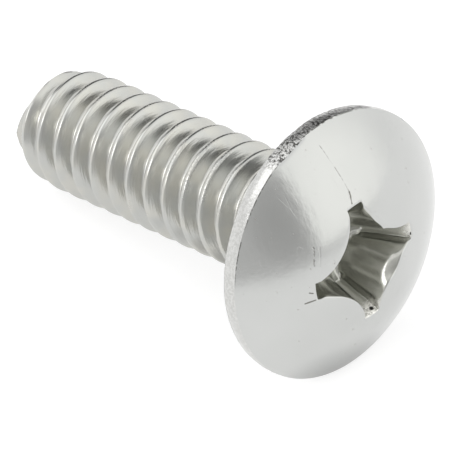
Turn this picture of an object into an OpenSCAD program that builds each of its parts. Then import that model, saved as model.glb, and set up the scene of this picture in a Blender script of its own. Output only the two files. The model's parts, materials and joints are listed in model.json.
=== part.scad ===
// Truss head machine screw with a cross recess, 1/4 inch with 20 threads per inch, 3/4 inch long.
// One cold-headed and thread-rolled piece of stainless steel. It lies on its side, as it comes to
// rest: the head's rim and a thread crest near the point touch the ground.
// The origin is the centre of the bearing face under the head, and the head is towards +X.

/* [Thread] */
// Diameter over the thread crests
thread_major_d = 6.18; // [5.8:0.02:6.6]
// Diameter at the thread roots
thread_minor_d = 4.78; // [4.5:0.02:5]
// Distance from one crest to the next along the axis
thread_pitch = 1.27; // [1:0.01:1.5]
// Length from the bearing face to the end of the point
screw_length = 19.05; // [12:0.05:30]
// Turn of the thread about the axis, which decides where the crests fall
thread_turn = 354; // [0:1:360]

/* [Point] */
// Diameter of the flat end face
point_d = 4.2; // [3.4:0.1:4.6]
// Length over which the first crests rise to full height
point_taper_len = 2.9; // [1:0.1:4]
// How much lower the crest is at the end face than on the full thread
point_crest_drop = 0.42; // [0:0.02:0.5]

/* [Neck] */
// Diameter of the plain neck under the head, which is that of the blank before rolling
neck_d = 5.45; // [5.2:0.05:5.6]
// Length of the plain neck
neck_len = 0.6; // [0.4:0.05:2]
// Length over which the thread runs out into the neck
runout_len = 0.95; // [0.5:0.05:1.5]
// Radius of the fillet between the neck and the head
neck_fillet = 0.4; // [0.35:0.01:0.45]

/* [Head] */
// Diameter of the head
head_d = 13.8; // [12:0.1:16]
// Height of the head from the bearing face to the crown
head_h = 3.5; // [3.2:0.05:4.2]
// Height of the upright rim below the dome
rim_h = 0.83; // [0.5:0.01:1.1]
// Bevel along the lower edge of the rim
rim_bevel = 0.12; // [0.05:0.01:0.2]

/* [Cross recess] */
// Distance from the axis to the end of a wing, at the height of the crown
wing_reach = 3.45; // [3.1:0.05:3.9]
// Slope of the wing ends away from the axis, in degrees
wing_end_slope = 26.5; // [20:0.5:30]
// Width of a wing at the height of the crown
wing_w_top = 1.02; // [0.8:0.02:1.3]
// Width of a wing at its floor
wing_w_floor = 0.66; // [0.5:0.02:0.8]
// Depth of the wings below the crown
wing_depth = 2.75; // [2.2:0.05:3]
// Depth of the pointed floor below the wings
floor_cone_depth = 0.75; // [0.4:0.05:0.9]
// Radius of the bulging walls between the wings
lobe_r = 3.2; // [2.8:0.05:3.8]
// Distance from the axis to the bulging walls, at the height of the crown
lobe_reach_top = 1.97; // [1.7:0.01:2.1]
// Distance from the axis to the bulging walls, at the wing floor
lobe_reach_floor = 1.25; // [1:0.01:1.5]
// Turn of the cross about the axis
cross_turn = -1; // [-45:1:45]
// How far off the axis the punch struck, sideways as the screw lies
cross_shift = -0.27; // [-0.3:0.01:0.3]

/* [Hidden] */
$fn = 96;
// Length by which a cutter passes the surface it cuts
clear = 1;

thread_r = thread_major_d / 2;
root_r = thread_minor_d / 2;
neck_r = neck_d / 2;
head_r = head_d / 2;

// One thread form: places along the pitch and shares of the full depth. The crest and the root
// are rounded, as rolling leaves them, and the flanks stand at about 60 degrees to each other.
form_place = [0, 0.09, 0.355, 0.5, 0.645, 0.91];
form_share = [1, 0.93, 0.08, 0, 0.08, 0.93];
form_n = len(form_place);
// Columns of points around the shank
cols = 36;

// The first crest starts below the point, where it is cut away, and the skin ends in the head.
point_z = -screw_length;
skin_z = point_z - (2 - thread_turn / 360) * thread_pitch;
skin_top_z = 0.4;
rows = ceil((skin_top_z - skin_z) / thread_pitch * form_n) + 1;
// The skin ends a little inside the plain neck.
skin_neck_r = neck_r - 0.04;

// Crest radius at a height: the first crests near the point are lower.
function point_rise(z) = min(1, max(0, (z - point_z) / point_taper_len));
function crest_r(z) = thread_r - point_crest_drop * pow(1 - point_rise(z), 2);
// Share of the run-out that a height has passed, on the way up to the neck
function runout(z) = min(1, max(0, (z + neck_len + runout_len) / runout_len));
function skin_r(z, share) =
    (root_r + (crest_r(z) - root_r) * share) * (1 - runout(z)) + skin_neck_r * runout(z);

// A right-hand thread: each column is its share of a pitch higher than the first one.
function row_z(i) = skin_z + thread_pitch * (floor(i / form_n) + form_place[i % form_n]);
function col_z(i, j) = row_z(i) + thread_pitch * j / cols;
function skin_point(i, j) =
    let (a = 360 * j / cols, r = skin_r(col_z(i, j), form_share[i % form_n]))
    [r * cos(a), r * sin(a), col_z(i, j)];

// Two triangles between a left-hand and a right-hand pair of points, each pair from low to high
function quad(left, right) =
    [[left, left + 1, right], [right, left + 1, right + 1]];

// The threaded shank as one closed skin. After a full turn, the last column meets the first one
// a pitch higher. Each open end is closed by a fan to a point on the axis.
module threaded_skin() {
    last = (cols - 1) * rows;
    top = rows - 1;
    low_tip = cols * rows;
    high_tip = low_tip + 1;
    points = [for (j = [0:cols - 1]) for (i = [0:top]) skin_point(i, j)];
    tips = [
        [0, 0, skin_z - thread_pitch],
        [0, 0, row_z(top) + thread_pitch]
    ];
    walls = [
        for (j = [0:cols - 2]) for (i = [0:top - 1])
            each quad(j * rows + i, (j + 1) * rows + i)
    ];
    seam = [for (i = [0:top - 1 - form_n]) each quad(last + i, i + form_n)];
    low_loop = [
        for (j = [0:cols - 1]) j * rows,
        for (i = [form_n:-1:1]) i
    ];
    high_loop = [
        for (j = [0:cols - 1]) j * rows + top,
        for (i = [top - 1:-1:top - form_n]) last + i
    ];
    low_fan = [
        for (k = [0:len(low_loop) - 1])
            [low_loop[k], low_loop[(k + 1) % len(low_loop)], low_tip]
    ];
    high_fan = [
        for (k = [0:len(high_loop) - 1])
            [high_loop[(k + 1) % len(high_loop)], high_loop[k], high_tip]
    ];
    polyhedron(
        points = concat(points, tips),
        faces = concat(walls, seam, low_fan, high_fan)
    );
}

// The space that the point leaves to the shank: a flat end face with a 45 degree bevel
module point_space() {
    point_r = point_d / 2;
    far_r = thread_r + clear;
    rotate_extrude()
        polygon([
            [0, point_z],
            [point_r, point_z],
            [far_r, point_z + far_r - point_r],
            [far_r, head_h],
            [0, head_h]
        ]);
}

// The plain neck with its fillet under the head
module neck() {
    rotate_extrude()
        difference() {
            translate([0, -neck_len])
                square([neck_r + neck_fillet, neck_len + rim_h / 2]);
            translate([neck_r + neck_fillet, -neck_fillet])
                circle(r = neck_fillet);
            translate([neck_r, -neck_len - clear])
                square([neck_fillet + clear, neck_len + clear - neck_fillet]);
        }
}

// The head: a ball cut off by an upright rim, flat below, with a small bevel on the lower edge.
// It is turned so that the seam of its round faces is on the upper side, away from the ground.
module head_blank() {
    dome_h = head_h - rim_h;
    dome_r = (head_r * head_r + dome_h * dome_h) / (2 * dome_h);
    rotate([0, 0, 180])
        intersection() {
            translate([0, 0, head_h - dome_r])
                sphere(r = dome_r);
            rotate_extrude()
                polygon([
                    [0, 0],
                    [head_r - rim_bevel, 0],
                    [head_r, rim_bevel],
                    [head_r, head_h + clear],
                    [0, head_h + clear]
                ]);
        }
}

// One pair of opposite wings, narrower towards the floor
module wing_pair() {
    half_top = wing_w_top / 2;
    half_floor = wing_w_floor / 2;
    widen = (half_top - half_floor) / wing_depth * clear;
    rotate([90, 0, 0])
        linear_extrude(2 * wing_reach + 2 * clear, center = true)
            polygon([
                [-half_floor, head_h - wing_depth],
                [half_floor, head_h - wing_depth],
                [half_top + widen, head_h + clear],
                [-half_top - widen, head_h + clear]
            ]);
}

// The core between the wings: four leaning round walls bulge into it
module recess_core() {
    lean = atan((lobe_reach_top - lobe_reach_floor) / wing_depth);
    difference() {
        translate([0, 0, head_h - wing_depth - floor_cone_depth])
            cylinder(r = wing_reach, h = wing_depth + floor_cone_depth + clear);
        for (side = [0:3])
            rotate([0, 0, 45 + 90 * side])
                translate([lobe_reach_top + lobe_r / cos(lean), 0, head_h])
                    rotate([0, lean, 0])
                        cylinder(r = lobe_r, h = 4 * head_h, center = true);
    }
}

// The space that the driver's point fills: sloping wing ends and a pointed floor
module recess_cutter() {
    floor_z = head_h - wing_depth;
    floor_r = wing_reach - wing_depth * tan(wing_end_slope);
    translate([0, cross_shift, 0])
        rotate([0, 0, cross_turn])
            intersection() {
                union() {
                    wing_pair();
                    rotate([0, 0, 90])
                        wing_pair();
                    recess_core();
                }
                rotate_extrude()
                    polygon([
                        [0, floor_z - floor_cone_depth],
                        [floor_r, floor_z],
                        [wing_reach + clear * tan(wing_end_slope), head_h + clear],
                        [0, head_h + clear]
                    ]);
            }
}

// The screw lies on its side. The ground touches the upper end of the rim's bevel and the first
// crest that comes down to it near the point, which gives the slope of the axis.
contact_z = point_z + thread_pitch * thread_turn / 360;
contact_r = crest_r(contact_z);
rest_slope = atan((head_r - contact_r) / (rim_bevel - contact_z));

module screw() {
    color("silver")
        rotate([0, 90 - rest_slope, 0])
            difference() {
                union() {
                    head_blank();
                    neck();
                    intersection() {
                        threaded_skin();
                        point_space();
                    }
                }
                recess_cutter();
            }
}

screw();
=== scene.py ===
import json
import math

import bmesh
import bpy
import numpy as np
from mathutils import Euler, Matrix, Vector, noise


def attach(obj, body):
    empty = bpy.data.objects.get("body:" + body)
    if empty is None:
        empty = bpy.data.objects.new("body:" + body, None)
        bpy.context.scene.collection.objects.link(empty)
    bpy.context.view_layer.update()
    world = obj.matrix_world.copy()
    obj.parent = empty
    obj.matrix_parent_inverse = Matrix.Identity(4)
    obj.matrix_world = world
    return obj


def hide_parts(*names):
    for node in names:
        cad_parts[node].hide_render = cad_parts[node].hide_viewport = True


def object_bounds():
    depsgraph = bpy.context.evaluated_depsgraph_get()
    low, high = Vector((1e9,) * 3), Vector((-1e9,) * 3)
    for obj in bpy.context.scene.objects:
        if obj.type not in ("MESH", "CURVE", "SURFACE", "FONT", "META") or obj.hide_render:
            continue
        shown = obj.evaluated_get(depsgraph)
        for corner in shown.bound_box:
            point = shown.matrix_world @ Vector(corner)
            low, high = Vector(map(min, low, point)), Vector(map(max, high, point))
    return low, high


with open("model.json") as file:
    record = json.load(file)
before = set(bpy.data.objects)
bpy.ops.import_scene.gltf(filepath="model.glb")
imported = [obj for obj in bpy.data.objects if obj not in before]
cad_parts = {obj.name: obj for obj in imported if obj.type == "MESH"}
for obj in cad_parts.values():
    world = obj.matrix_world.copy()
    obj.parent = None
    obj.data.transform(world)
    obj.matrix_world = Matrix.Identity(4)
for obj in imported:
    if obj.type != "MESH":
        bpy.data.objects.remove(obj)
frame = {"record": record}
cad_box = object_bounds()


# The lie of the screw.
# One piece of cold-headed stainless steel that lies on its side: the rim of the head and a crest
# near the point touch the ground. Its axis leans, and the record's bearing face gives the lean.
MM = 0.001
mounts = {m["name"]: m for m in frame["record"]["mounts"]}
out_of_head = -Vector(mounts["head_seat"]["axis"])
lean = math.asin(out_of_head.z)
lie = Euler((0, math.pi / 2 - lean, 0))


# The shank.
# Rolled stainless steel: a right-hand thread of 20 turns to the inch, with rounded crests and
# roots, lower crests at the point, a bevelled end and a run-out into the plain neck.
class Wire:
    """A node's output that can be used in a sum."""

    def __init__(self, board, socket):
        self.board, self.socket = board, socket

    def maths(self, operation, *others):
        values = dict(enumerate((self, *others)))
        return self.board.add("ShaderNodeMath", values, operation=operation)

    def clamp(self):
        return self.maths("MINIMUM", 1).maths("MAXIMUM", 0)

    def __add__(self, other):
        return self.maths("ADD", other)

    def __mul__(self, other):
        return self.maths("MULTIPLY", other)

    def __sub__(self, other):
        return self.maths("SUBTRACT", other)

    def __rsub__(self, other):
        return (self * -1) + other

    def __truediv__(self, other):
        return self.maths("DIVIDE", other)

    def __pow__(self, other):
        return self.maths("POWER", other)

    __radd__ = __add__
    __rmul__ = __mul__


class Board:
    """A node tree that is being filled."""

    def __init__(self, tree):
        self.tree = tree
        tree.nodes.clear()

    def put(self, socket, value):
        if isinstance(value, Wire):
            self.tree.links.new(value.socket, socket)
        else:
            socket.default_value = value

    def add(self, kind, sockets={}, out=0, **settings):
        """A new node with its settings, and with numbers or other nodes in its sockets."""
        node = self.tree.nodes.new(kind)
        for name, value in settings.items():
            setattr(node, name, value)
        for name, value in sockets.items():
            self.put(node.inputs[name], value)
        return Wire(self, node.outputs[out]) if len(node.outputs) else node

    def xyz(self, place):
        """The three numbers of a place."""
        outputs = self.add("ShaderNodeSeparateXYZ", {0: place}).socket.node.outputs
        return [Wire(self, outputs[axis]) for axis in "XYZ"]

    def vector(self, operation, first, second, out=0):
        where = "Scale" if operation == "SCALE" else 1
        sockets = {0: first, where: second}
        return self.add("ShaderNodeVectorMath", sockets, out, operation=operation)

    def dot(self, place, way):
        return self.vector("DOT_PRODUCT", place, way, "Value")

    def distance(self, place, spot):
        return self.vector("DISTANCE", place, spot, "Value")

    def mix(self, share, low, high):
        """The low colour where the share is 0, the high one where it is 1."""
        low, high = (c if isinstance(c, Wire) else (*c, 1) for c in (low, high))
        sockets = {0: share, 6: low, 7: high}
        return self.add("ShaderNodeMix", sockets, 2, data_type="RGBA")

    def smooth(self, value, start, end):
        """0 below the start, 1 above the end, and an eased slope between them."""
        sockets = {0: value, 1: start, 2: end}
        return self.add("ShaderNodeMapRange", sockets, interpolation_type="SMOOTHSTEP")


# Lengths are in millimetres, the thread turn in turns and the start turn in radians.
thread_sizes = {
    "Columns": 108,
    "Rows in a pitch": 24,
    "Pitch": 1.27,
    "Crest radius": 3.09,
    "Root radius": 2.39,
    "Screw length": 19.05,
    "Thread turn": 354 / 360,
    "Point radius": 2.02,
    "Start turn": math.radians(257.5),
    "Start height": 0.45,
    "Point taper": 2.9,
    "Point drop": 0.42,
    "Neck radius": 2.685,
    "Neck length": 0.6,
    "Run-out": 0.95,
    "Shank top": -0.1,
}
thread_tree = bpy.data.node_groups.new("rolled thread", "GeometryNodeTree")
thread_tree.interface.new_socket(
    "Geometry", in_out="OUTPUT", socket_type="NodeSocketGeometry"
)
thread_input = {}
for name, value in thread_sizes.items():
    kind = "NodeSocketInt" if isinstance(value, int) else "NodeSocketFloat"
    thread_input[name] = thread_tree.interface.new_socket(
        name, in_out="INPUT", socket_type=kind
    )
board = Board(thread_tree)
group_in = thread_tree.nodes.new("NodeGroupInput")
size = {name: Wire(board, group_in.outputs[name]) for name in thread_sizes}
pitch = size["Pitch"]
point_z = size["Screw length"] * -1
# Spare turns beyond the point and the neck close the ends.
spare_turns, turns_below = 4, 3
turns = (size["Screw length"] / pitch + spare_turns).maths("CEIL")
row_count = turns * size["Rows in a pitch"]
grid = board.add(
    "GeometryNodeMeshGrid",
    {
        "Size X": size["Columns"],
        "Size Y": row_count,
        "Vertices X": size["Columns"] + 1,
        "Vertices Y": row_count + 1,
    },
)
x, y, _ = board.xyz(board.add("GeometryNodeInputPosition"))
column = x + size["Columns"] / 2
row = y + row_count / 2
# Each column is its share of a pitch higher, so the rows follow the crest.
around = column / size["Columns"]
rise = row / size["Rows in a pitch"]
height = point_z + pitch * (rise + around + size["Thread turn"] - turns_below)
above_point = height - point_z
# The flanks in shares of the pitch, with the crest and the root rounded into them
flank_end, flank_length, crest_ease, root_ease = 0.368, 0.3, 0.07, 0.16
off_crest = (rise - rise.maths("ROUND")).maths("ABSOLUTE")
up_flank = (flank_end - off_crest) / flank_length
up_flank = up_flank.maths("SMOOTH_MIN", 1, crest_ease).maths("SMOOTH_MAX", 0, root_ease)
point_rise = (above_point / size["Point taper"]).clamp()
crest = size["Crest radius"] - size["Point drop"] * (1 - point_rise) ** 2
skin = size["Root radius"] + (crest - size["Root radius"]) * up_flank
run_out = (height + size["Neck length"] + size["Run-out"]) / size["Run-out"]
run_out = run_out.clamp()
skin = skin * (1 - run_out) + size["Neck radius"] * run_out
# The row at the edge of the end face is put exactly on it.
half_row = pitch / size["Rows in a pitch"] / 2
on_edge = above_point.maths("ABSOLUTE").maths("LESS_THAN", half_row)
above_point = above_point * (1 - on_edge)
up_bevel = above_point.maths("MAXIMUM", 0)
# The thread starts at one place on the end, where the bevel stands out.
start_reach, bevel_ease = 0.75, 0.04
angle = around * math.tau
off_start = (angle - size["Start turn"]).maths("ABSOLUTE")
thread_start = (1 - off_start / start_reach).maths("MAXIMUM", 0)
bevel = size["Point radius"] + thread_start * size["Start height"] + up_bevel
skin = skin.maths("SMOOTH_MIN", bevel, bevel_ease * (1 - on_edge))
skin = skin.maths("MINIMUM", bevel)
# Both end faces shrink to the axis within a turn.
below = (above_point.maths("MINIMUM", 0) / pitch + 1).maths("MAXIMUM", 0)
over_top = height - size["Shank top"]
over = (1 - over_top.maths("MAXIMUM", 0) / pitch).maths("MAXIMUM", 0)
radius = skin * below * over
flat_height = (point_z + up_bevel).maths("MINIMUM", size["Shank top"])
spot = board.add(
    "ShaderNodeCombineXYZ",
    {
        0: radius * angle.maths("COSINE") * MM,
        1: radius * angle.maths("SINE") * MM,
        2: flat_height * MM,
    },
)
grid = board.add("GeometryNodeSetPosition", {"Geometry": grid, "Position": spot})
weld = {"Geometry": grid, "Distance": 0.001 * MM}
grid = board.add("GeometryNodeMergeByDistance", weld)
grid = board.add("GeometryNodeTransform", {"Geometry": grid, "Rotation": tuple(lie)})
grid = board.add("GeometryNodeSetShadeSmooth", {"Geometry": grid})
grid = board.add("GeometryNodeRealizeInstances", {"Geometry": grid})
rolled_steel = bpy.data.materials.new("rolled steel")
coat = {"Geometry": grid, "Material": rolled_steel}
grid = board.add("GeometryNodeSetMaterial", coat)
board.add("NodeGroupOutput", {0: grid})

maker = bpy.data.objects.new("shank", bpy.data.meshes.new("shank"))
bpy.context.scene.collection.objects.link(maker)
modifier = maker.modifiers.new("rolled thread", "NODES")
modifier.node_group = thread_tree
for name, value in thread_sizes.items():
    modifier[thread_input[name].identifier] = value
bpy.context.view_layer.update()
shank_mesh = bpy.data.meshes.new_from_object(
    maker.evaluated_get(bpy.context.evaluated_depsgraph_get())
)
bpy.data.objects.remove(maker)


# The head.
# Cold-headed in one piece with the shank: a low dome, a rough trimmed rim, a flat bearing face
# and a plain neck. The punched cross recess has four wings and a pointed floor.

# The sizes are in millimetres. The lip is the rounding along the mouth of the recess.
head_r = 6.9
head_h = 3.5
rim_h = 0.83
rim_bevel = 0.12
neck_r = 2.725
neck_low = -0.6
neck_fillet = 0.4
wing_reach = 3.45
wing_end_slope = math.radians(26.5)
wing_w_top = 1.02
wing_w_floor = 0.66
wing_depth = 2.75
floor_cone_depth = 0.75
lobe_r = 3.2
lobe_reach_top = 1.97
lobe_reach_floor = 1.25
cross_turn = math.radians(-1)
cross_shift = -0.27
lip = 0.09
dome_h = head_h - rim_h
dome_r = (head_r**2 + dome_h**2) / (2 * dome_h)
lobe_lean = math.atan((lobe_reach_top - lobe_reach_floor) / wing_depth)
wing_floor_z = head_h - wing_depth
apex_z = wing_floor_z - floor_cone_depth

# Directions around the axis, closest together at the corners of the wings
half_wing = np.concatenate(
    [np.linspace(0, 7, 6)[:-1], np.linspace(7, 13, 19)[:-1], np.linspace(13, 45, 31)]
)
one_wing = np.concatenate([-half_wing[:0:-1], half_wing[:-1]])
spokes = np.radians((one_wing + 90 * np.arange(4)[:, None]).ravel())
off_wing = np.abs((spokes + math.pi / 4) % (math.pi / 2) - math.pi / 4)


def off_turn(angles, turn):
    """How far each angle is from a turn in degrees, at most half a turn either way."""
    return (angles - math.radians(turn) + math.pi) % math.tau - math.pi


def near_spoke(turn, width):
    """1 at that turn about the axis, fading to 0 over about that width, both in degrees."""
    return np.exp(-((off_turn(spokes, turn) / math.radians(width)) ** 2))


# The punch dragged the metal: it left the mouth wider on the right, where the wall bends
# outwards, and on the outer corners of two wings, and it tore one of the lobes to a point.
# Each drag has its reach, its turn and its width.
drags = (
    (0.2, 52, 18), (0.2, 0, 9), (0.14, 90, 9), (0.16, 10, 5), (0.2, 168, 6), (0.12, 283, 8)
)
widened = sum(reach * near_spoke(turn, width) for reach, turn, width in drags)
widened_from_z, widened_at_z = 2.8, 3.2
torn_lobe = 0.13 * np.exp(-np.abs(off_turn(spokes, 134)) / math.radians(8))
corner_ease = 0.05
past_head = 9.0


def soft_min(a, b, ease):
    """The smaller of two numbers, eased where they are about the same."""
    share = np.clip(0.5 + 0.5 * (b - a) / ease, 0, 1)
    return b + (a - b) * share - ease * share * (1 - share)


def recess_r(z):
    """Distance from the axis to the wall of the recess, for each direction at its height."""
    depth = head_h - z
    half_w = wing_w_top / 2 - (wing_w_top - wing_w_floor) / 2 * depth / wing_depth
    wing = np.where(z > wing_floor_z, half_w, 0) / np.maximum(np.sin(off_wing), 1e-3)
    # Where each direction meets the round wall of the lobe, which leans. Some pass it by.
    centre = lobe_reach_top + lobe_r / math.cos(lobe_lean) - depth * math.tan(lobe_lean)
    squash = math.cos(lobe_lean)
    along, across = np.cos(math.pi / 4 - off_wing), np.sin(math.pi / 4 - off_wing)
    a = (along * squash) ** 2 + across**2
    b = along * centre * squash**2
    c = (centre * squash) ** 2 - lobe_r**2
    inside = b * b - a * c
    core = np.where(inside > 0, (b - np.sqrt(np.maximum(inside, 0))) / a, past_head)
    open_r = -soft_min(-wing, torn_lobe - core, corner_ease)
    # The wing ends slope, and below the wings the floor comes to a point.
    slope = math.tan(wing_end_slope)
    floor_share = np.maximum(z - apex_z, 0) / floor_cone_depth
    floor_r = (wing_reach - wing_depth * slope) * floor_share
    end = np.where(z > wing_floor_z, wing_reach - depth * slope, floor_r)
    drag = (z - widened_from_z) / (widened_at_z - widened_from_z)
    drag = widened * np.clip(drag, 0, 1.2) ** 2
    return np.maximum(soft_min(open_r, end, corner_ease), 0) + drag


def dome_z(r):
    return head_h - dome_r + np.sqrt(dome_r**2 - np.minimum(r, dome_r) ** 2)


directions = spokes + cross_turn
compass = np.stack([np.cos(directions), np.sin(directions)], 1)
punch_axis = np.array([0, cross_shift])


def round_punch(r):
    """Points at that distance from the axis of the punch."""
    return compass * np.reshape(r, (-1, 1)) + punch_axis


def on_dome(points):
    return dome_z(np.hypot(*points.T))


def level(z):
    return np.full(len(spokes), float(z))


def barrel(share):
    """How far the rim falls in, from its upper corner to its lower one."""
    return 0.19 * (share - 0.35) ** 2


# The mouth is where the wall meets the dome.
mouth_z = level(head_h)
for _ in range(12):
    mouth_z = on_dome(round_punch(recess_r(mouth_z)))
mouth = round_punch(recess_r(mouth_z))
# The pointed floor, the wings and the lip
rings = []
for share in np.linspace(0.12, 0.98, 6):
    z = level(apex_z + share * floor_cone_depth)
    rings.append((round_punch(recess_r(z)), z, "recess"))
for share in np.linspace(0.003, 1, 22):
    z = wing_floor_z + share * (mouth_z - lip - wing_floor_z)
    rings.append((round_punch(recess_r(z)), z, "recess"))
wall, wall_z, _ = rings[-1]
top = round_punch(recess_r(mouth_z) + lip)
for t in (0.2, 0.4, 0.6, 0.8, 1):
    at = (1 - t) ** 2 * wall + 2 * t * (1 - t) * mouth + t * t * top
    z = (1 - t) ** 2 * wall_z + 2 * t * (1 - t) * mouth_z + t * t * on_dome(top)
    rings.append((at, z, "dome" if t > 0.5 else "recess"))
# The dome runs out to the upper corner of the rim. The corner is eased, and it is cut off more
# where the trimming left a facet.
facet = off_turn(directions, 195) / math.radians(8)
corner = 0.035 + 0.09 * np.exp(-(facet**4))
dome_edge = compass * (head_r - corner)[:, None]
for share in np.linspace(0, 1, 29)[1:]:
    at = top + share * (dome_edge - top)
    rings.append((at, on_dome(at), "dome"))
side_top = float(dome_z(np.array(head_r))) - 0.8 * corner
for share in (0.33, 0.67, 1):
    bulge = 0.25 * corner * share * (1 - share)
    r = head_r - barrel(0) * share - corner * (1 - share) + bulge
    z = on_dome(dome_edge) * (1 - share) + side_top * share + bulge
    rings.append((compass * r[:, None], z, "rim"))
# The side of the rim and its lower bevel
for share in np.linspace(0, 1, 11)[1:]:
    z = side_top + (rim_bevel + 0.01 - side_top) * share
    rings.append((compass * (head_r - barrel(share)), z, "rim"))
for r, z in ((head_r - 0.1, 0.05), (head_r - rim_bevel - 0.03, 0.008)):
    rings.append((compass * r, level(z), "rim"))
# The bearing face, the fillet and the neck
for r in (6.72, 6.2, 5.4, 4.6, 3.9, 3.4, neck_r + neck_fillet + 0.02):
    rings.append((compass * r, level(0), "dome"))
for turn in np.linspace(0, math.pi / 2, 7):
    r = neck_r + neck_fillet * (1 - math.sin(turn))
    z = -neck_fillet * (1 - math.cos(turn))
    rings.append((compass * r, level(z), "dome"))
rings.append((compass * neck_r, level(neck_low + 0.01), "dome"))
rings.append((compass * (neck_r - 0.01), level(neck_low), "dome"))

# The skin goes from the floor of the recess, up over the dome and down to the neck.
zones = ["recess", "dome", "rim"]
steels = {zone: bpy.data.materials.new(f"{zone} steel") for zone in zones}
head = bmesh.new()
loops = []
for at, z, _ in rings:
    loops.append([head.verts.new(Vector(p) * MM) for p in zip(*at.T, z)])
for low, high, (_, _, zone) in zip(loops, loops[1:], rings[1:]):
    for k in range(len(spokes)):
        j = (k + 1) % len(spokes)
        face = head.faces.new((low[k], high[k], high[j], low[j]))
        face.material_index = 1 + zones.index(zone)
# Each open end is closed to a point on the axis of the punch or of the screw.
for loop, y, z, order, zone in (
    (loops[0], cross_shift, apex_z, 1, "recess"),
    (loops[-1], 0, neck_low, -1, "dome"),
):
    tip = head.verts.new((0, y * MM, z * MM))
    for k in range(len(spokes)):
        pair = (loop[k], loop[(k + 1) % len(spokes)])[::order]
        face = head.faces.new((tip, *pair))
        face.material_index = 1 + zones.index(zone)
# The rim was trimmed and tumbled: it is uneven. Each grain of it has its fineness and its depth.
rim_grains = ((0.9, 0.02), (3.1, 0.014), (7.3, 0.006))
rim_inset = 0.02
for loop, (_, _, zone) in zip(loops, rings):
    if zone != "rim":
        continue
    for v in loop:
        spot = v.co / MM
        uneven = sum(noise.noise(spot * fine) * depth for fine, depth in rim_grains)
        outward = Vector((v.co.x, v.co.y, 0)).normalized()
        v.co += outward * (uneven - rim_inset) * MM
head.transform(lie.to_matrix().to_4x4())
head.normal_update()
head_faces = len(head.faces)
head.from_mesh(shank_mesh)
head.faces.ensure_lookup_table()
for face in head.faces[head_faces:]:
    face.material_index = 0
screw_mesh = bpy.data.meshes.new("screw_steel")
head.to_mesh(screw_mesh)
head.free()
for material in (rolled_steel, *steels.values()):
    screw_mesh.materials.append(material)
screw_mesh.shade_smooth()
crease_angle = math.radians(52)
screw_mesh.set_sharp_from_angle(angle=crease_angle)
screw = bpy.data.objects.new("screw_steel", screw_mesh)
bpy.context.scene.collection.objects.link(screw)
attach(screw, "root")
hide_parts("screw")


# The finish.
# Plain passivated stainless steel, tumbled in bulk: streaked and scuffed crests, single scratches
# and specks of dirt on a finely grained dome, a rim torn on its upper side, and a darker recess.
def steel_board(material):
    """An empty board for a steel, and the place in millimetres along the screw's own axes."""
    material.use_nodes = True
    board = Board(material.node_tree)
    sockets = {
        "Vector": board.add("ShaderNodeTexCoord", out="Object"),
        "Rotation": (0, lean - math.pi / 2, 0),
        "Scale": (1 / MM,) * 3,
    }
    return board, board.add("ShaderNodeMapping", sockets)


def steel(board, tone, roughness, normal):
    sockets = {"Base Color": tone, "Metallic": 1.0, "Roughness": roughness, "Normal": normal}
    surface = board.add("ShaderNodeBsdfPrincipled", sockets)
    board.add("ShaderNodeOutputMaterial", {0: surface})


def grain(board, place, scale, detail=2.0, rough=0.5, stretch=None, turn=(0, 0, 0)):
    if stretch:
        sockets = {"Vector": place, "Rotation": turn, "Scale": stretch}
        place = board.add("ShaderNodeMapping", sockets)
    sockets = {"Vector": place, "Scale": scale, "Detail": detail, "Roughness": rough}
    return board.add("ShaderNodeTexNoise", sockets)


def thin_line(board, off, width):
    """1 on a line, 0 where it is more than its width away."""
    return 1 - board.smooth(off, width * 0.3, width)


def scratches(board, place, scale, stretch, turn, width):
    """Thin lines where a stretched grain passes its middle value."""
    line = grain(board, place, scale, 0.0, 0.5, stretch, turn)
    return thin_line(board, (line - 0.5).maths("ABSOLUTE"), width)


def scratch(board, place, start, end, width, wander):
    """A single scratch between two places on the dome, seen along the screw's axis."""
    start, end = Vector((*start, 0)), Vector((*end, 0))
    along = end - start
    flat_place = board.vector("MULTIPLY", place, (1, 1, 0))
    from_start = board.vector("SUBTRACT", flat_place, tuple(start))
    passed = (board.dot(from_start, tuple(along)) / along.length_squared).clamp()
    nearest = board.vector("SCALE", tuple(along), passed)
    return thin_line(board, board.distance(from_start, nearest) + wander, width)


def near_place(board, place, spot, start, end):
    """1 within the start distance from a spot, 0 beyond the end distance."""
    return 1 - board.smooth(board.distance(place, spot), start, end)


def bump(board, height, distance, under=None):
    sockets = {"Height": height, "Distance": distance * MM, "Strength": 1.0}
    if under:
        sockets["Normal"] = under
    return board.add("ShaderNodeBump", sockets)


# Rolled thread: the rolls drew the metal round the shank, which left faint streaks along it.
board, place = steel_board(rolled_steel)
x, y, z = board.xyz(place)
axis_r = (x * x + y * y).maths("SQRT")
on_crest = board.smooth(axis_r, 2.95, 3.08)
painted_root_shade = 1 - board.smooth(axis_r, 2.4, 2.55)
wide = grain(board, place, 0.9, 3.0)
fine = grain(board, place, 9.0, 4.0, 0.65)
scuffed = board.smooth(grain(board, place, 0.45, 1.0), 0.56, 0.66) * 0.5
scuffed = scuffed + near_place(board, place, (-2.8, -1.3, -6.4), 1.0, 2.4)
scuffed = scuffed.maths("MINIMUM", 1) * on_crest
scuff = board.smooth(grain(board, place, 6.5, 3.0, 0.7), 0.5, 0.6) * scuffed
turn = y.maths("ARCTAN2", x)
drawn = board.add("ShaderNodeCombineXYZ", {0: axis_r * 5, 1: z * 5, 2: turn * 1.2})
streaks = grain(board, drawn, 1.0, 3.0, 0.6)
tone = board.smooth(wide, 0.35, 0.65)
tone = board.mix(tone, (0.512, 0.516, 0.497), (0.543, 0.538, 0.503))
# The roots are painted a little darker, as painted shade.
tone = board.mix(painted_root_shade * 0.15, tone, (0.4, 0.39, 0.37))
normal = bump(board, fine * 0.1 + scuff, 0.007, bump(board, streaks, 0.012))
steel(board, tone, 0.2 + streaks * 0.1 + scuff * 0.12, normal)

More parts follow.
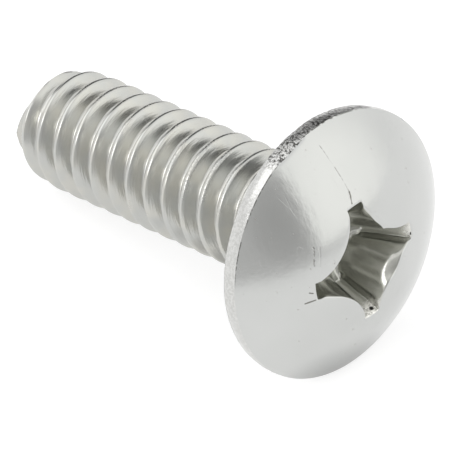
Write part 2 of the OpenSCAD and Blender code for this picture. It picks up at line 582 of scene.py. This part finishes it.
# Dome, bearing face and neck, with specks, groups of fine scratches and single deep ones
board, place = steel_board(steels["dome"])
wide = grain(board, place, 0.45, 3.0)
fine = grain(board, place, 7.0, 5.0, 0.7)
speck = board.smooth(grain(board, place, 4.2, 2.0, 0.6), 0.7, 0.76)
line_a = scratches(board, place, 0.4, (0.3, 1.6, 1.0), (0, 0, 0.3), 0.004)
line_b = scratches(board, place, 0.5, (0.25, 2.2, 1.0), (0, 0, 2.3), 0.003)
patch = board.smooth(grain(board, place, 0.9, 2.0), 0.55, 0.66)
wander = (grain(board, place, 3.5, 3.0) - 0.5) * 0.16
dotted = board.smooth(grain(board, place, 5.0, 2.0), 0.42, 0.55)
# Start and end on the dome, width, share of the wander, and strength
deep_scratches = (
    ((0.34, -4.06), (0.36, -3.55), 0.06, 0.3, 1),
    ((-0.17, -3.78), (-0.07, -3.62), 0.05, 0.3, 1),
    ((-3.9, -0.17), (-3.38, -0.3), 0.045, 1, 1),
    ((-2.38, -3.01), (-1.5, -3.23), 0.07, 1, dotted * 0.6),
    ((-6.23, -0.36), (-3.9, -0.16), 0.04, 0.4, dotted * 0.5),
)
deep = sum(
    scratch(board, place, start, end, width, wander * share) * strength
    for start, end, width, share, strength in deep_scratches
).maths("MINIMUM", 1)
light_marks = scratch(board, place, (-2.25, -2.73), (-1.37, -2.96), 0.06, wander)
light_marks = light_marks + (line_a + line_b) * patch * 0.6
light_marks = light_marks.maths("MINIMUM", 1)
tone = board.mix(wide, (0.52, 0.526, 0.515), (0.565, 0.571, 0.56))
tone = board.mix(speck * 0.4, tone, (0.34, 0.32, 0.29))
tone = board.mix(deep * 0.85, tone, (0.12, 0.115, 0.1))
# A broken line of painted shade lies in the corner between the dome and the rim, on the side that
# was torn.
x, y, _ = board.xyz(place)
edge_r = (x * x + y * y).maths("SQRT") + wander * 0.15
towards_torn = (x * -0.9 - y * 0.44) / edge_r
painted_corner_shade = board.smooth(edge_r, 6.81, 6.85) * board.smooth(towards_torn, 0.6, 0.75)
tone = board.mix(painted_corner_shade * dotted * 0.8, tone, (0.1, 0.1, 0.09))
drawn = grain(board, place, 1.6, 3.0, 0.6, (0.3, 1.6, 1.0))
coarse = bump(board, grain(board, place, 1.1, 3.0) + drawn * 0.5, 0.011)
normal = bump(board, fine - light_marks * 2 - deep * 3 - speck, 0.0014, coarse)
steel(board, tone, 0.14 + fine * 0.09 + speck * 0.15, normal)

# Trimmed rim: the trimming tore it on the upper side, and left it smoother elsewhere. Its pits on
# that side are painted dark, as painted dark reflections.
board, place = steel_board(steels["rim"])
clumps = grain(board, place, 7.0, 3.0, 0.65)
fine = grain(board, place, 14.0, 2.0, 0.7)
torn_side = board.smooth(board.dot(place, (-0.998, 0.07, 0)), 5.85, 6.2)
# On the torn side the pits are painted nearly black: painted dark reflections.
pits_painted_dark = torn_side * (1 - board.smooth(clumps, 0.42, 0.5))
tone = board.smooth(clumps, 0.4, 0.6)
tone = board.mix(tone, (0.53, 0.53, 0.515), (0.61, 0.61, 0.597))
tone = board.mix(pits_painted_dark * 0.9, tone, (0.05, 0.048, 0.045))
coarse = bump(board, clumps * (torn_side * 0.85 + 0.15), 0.04)
steel(board, tone, 0.14 + fine * 0.12, bump(board, fine, 0.004, coarse))

# Punched recess: streaks down the walls, two scuffed wing ends, and a pit in three of them, each
# painted dark as painted shade
board, place = steel_board(steels["recess"])
streaks = grain(board, place, 3.0, 3.0, 0.55, (1.0, 1.0, 0.12))
fine = grain(board, place, 10.0, 3.0, 0.6)
coarse_grain = grain(board, place, 6.0, 3.0, 0.7)
scuffed = near_place(board, place, (3.1, -0.1, 2.8), 0.3, 0.75)
scuffed = scuffed + near_place(board, place, (0.1, 3.1, 2.9), 0.2, 0.7) * 0.5
scuffed = scuffed * board.smooth(coarse_grain, 0.36, 0.5)
# Each pit has its place, and the distances at which its edge starts and ends.
recess_pits = (
    ((3.055, -0.073, 2.7), 0.07, 0.14),
    ((0.331, 2.95, 3.05), 0.06, 0.12),
    ((-0.42, -3.4, 3.05), 0.08, 0.14),
)
pits_painted_dark = sum(near_place(board, place, *pit) for pit in recess_pits).maths("MINIMUM", 1)
tone = board.smooth(streaks, 0.3, 0.7)
tone = board.mix(tone, (0.47, 0.473, 0.44), (0.51, 0.51, 0.477))
tone = board.mix(scuffed, tone, (0.86, 0.85, 0.81))
# The pits are painted nearly black, as painted shade inside them.
tone = board.mix(pits_painted_dark, tone, (0.03, 0.03, 0.028))
height = fine * 0.1 + coarse_grain * scuffed - pits_painted_dark
normal = bump(board, height, 0.02, bump(board, streaks, 0.0012))
steel(board, tone, 0.15 + fine * 0.1 + scuffed * 0.2, normal)


# The studio.
# A plain white floor at the lowest point of the screw, and soft light from all around. Seen
# directly, both are white, but the steel reflects brighter, grey and dark parts of them.
floor_z = min(cad_box[0][2], cad_box[1][2])
floor_reach = 2.0
corners = ((-1, -1), (1, -1), (1, 1), (-1, 1))
floor_mesh = bpy.data.meshes.new("floor")
floor_mesh.from_pydata(
    [(x * floor_reach, y * floor_reach, floor_z) for x, y in corners], [], [(0, 1, 2, 3)]
)
floor = bpy.data.objects.new("floor", floor_mesh)
bpy.context.scene.collection.objects.link(floor)
white = bpy.data.materials.new("white floor")
white.use_nodes = True
board = Board(white.node_tree)
rays = board.add("ShaderNodeLightPath").socket.node.outputs
glossy = Wire(board, rays["Is Glossy Ray"])
seen = Wire(board, rays["Is Camera Ray"]) + glossy + Wire(board, rays["Is Transmission Ray"])
seen = seen.maths("MINIMUM", 1)
# The strip just in front of the head is a painted shadow of the head, and the far floor is less
# bright, both for glossy rays only.
floor_place = board.add("ShaderNodeTexCoord", out="Object")
off_painted_head_shadow = board.distance(floor_place, (0, -1 * MM, floor_z))
painted_head_shadow = (1 - board.smooth(off_painted_head_shadow, 2.2 * MM, 4.8 * MM)) * glossy
far_off = board.dot(floor_place, (0.77, -0.64, 0))
far_floor = board.smooth(far_off, 40 * MM, 130 * MM) * glossy
glow = board.mix(painted_head_shadow * 0.5, (0.7, 0.7, 0.7), (0, 0, 0))
glow = board.mix(far_floor, glow, (0.3, 0.3, 0.3))
glow = board.mix(seen, (0, 0, 0), glow)
surface = board.add(
    "ShaderNodeBsdfPrincipled",
    {
        "Base Color": (0.42, 0.42, 0.42, 1),
        "Roughness": 0.9,
        "Specular IOR Level": 0.0,
        "Emission Color": glow,
        "Emission Strength": 1.0,
    },
)
board.add("ShaderNodeOutputMaterial", {0: surface})
floor_mesh.materials.append(white)

world = bpy.data.worlds.new("studio")
bpy.context.scene.world = world
world.use_nodes = True
board = Board(world.node_tree)
towards = board.add("ShaderNodeTexCoord", out="Generated")


def within(way, start, end):
    """Eased from 0 to 1 as the direction comes to point more that way."""
    return board.smooth(board.dot(towards, way), start, end)


def side(azimuth, elevation, start, end):
    """1 towards that side of the studio, 0 away from it; start and end are angles from it."""
    az, el, start, end = (math.radians(a) for a in (azimuth, elevation, start, end))
    way = (math.cos(el) * math.cos(az), math.cos(el) * math.sin(az), math.sin(el))
    return within(way, math.cos(end), math.cos(start))


# The grey side is a wedge between two upright edges that stops short of the ceiling.
grey_side = within((0.07, -1, -0.06), -0.07, 0.09) * within((1, 0.09, 0), 0, 0.2)
grey_side = grey_side * (1 - within((0, 0, 1), 0.76, 0.86))
greys = board.mix(side(-4, 24, 8, 34), (0.73, 0.73, 0.725), (0.54, 0.54, 0.535))
light = board.mix(side(20, 20, 8, 58), (1.13, 1.13, 1.13), (1.44, 1.44, 1.41))
light = board.mix(grey_side, light, greys)
soft_box = side(-97, 42, 10, 15)
light = board.mix(soft_box, light, (4.5, 4.5, 4.5))
dark_side = side(132, 20, 32, 39)
light = board.mix(dark_side, light, (0.13, 0.13, 0.13))
seen = board.add("ShaderNodeLightPath", out="Is Camera Ray")
light = board.mix(seen, light, (1, 1, 1))
background = board.add("ShaderNodeBackground", {"Color": light, "Strength": 1.0})
board.add("ShaderNodeOutputWorld", {0: background})

lamp_data = bpy.data.lights.new("soft lamp", "AREA")
lamp_data.shape = "DISK"
lamp_data.size = 0.22
lamp_data.energy = 0.09
lamp = bpy.data.objects.new("soft lamp", lamp_data)
lamp.location = (-0.2, -0.07, 0.21)
lamp.rotation_euler = (-lamp.location).to_track_quat("-Z", "Y").to_euler()
bpy.context.scene.collection.objects.link(lamp)


# The camera.
# It stands far off with a long lens, and looks down on the head.
camera_data = bpy.data.cameras.new("camera")
camera_data.sensor_width = 36
camera_data.lens = 605
camera_data.clip_start = 0.01
camera_data.clip_end = 10
camera = bpy.data.objects.new("camera", camera_data)
bpy.context.scene.collection.objects.link(camera)
camera.location = Vector((180.596, -192.754, 251.950)) * MM
target = Vector((-3.718, -2.984, 0.473)) * MM
camera.rotation_euler = (target - camera.location).to_track_quat("-Z", "Y").to_euler()
bpy.context.scene.camera = camera
bpy.context.scene.view_settings.view_transform = "Standard"
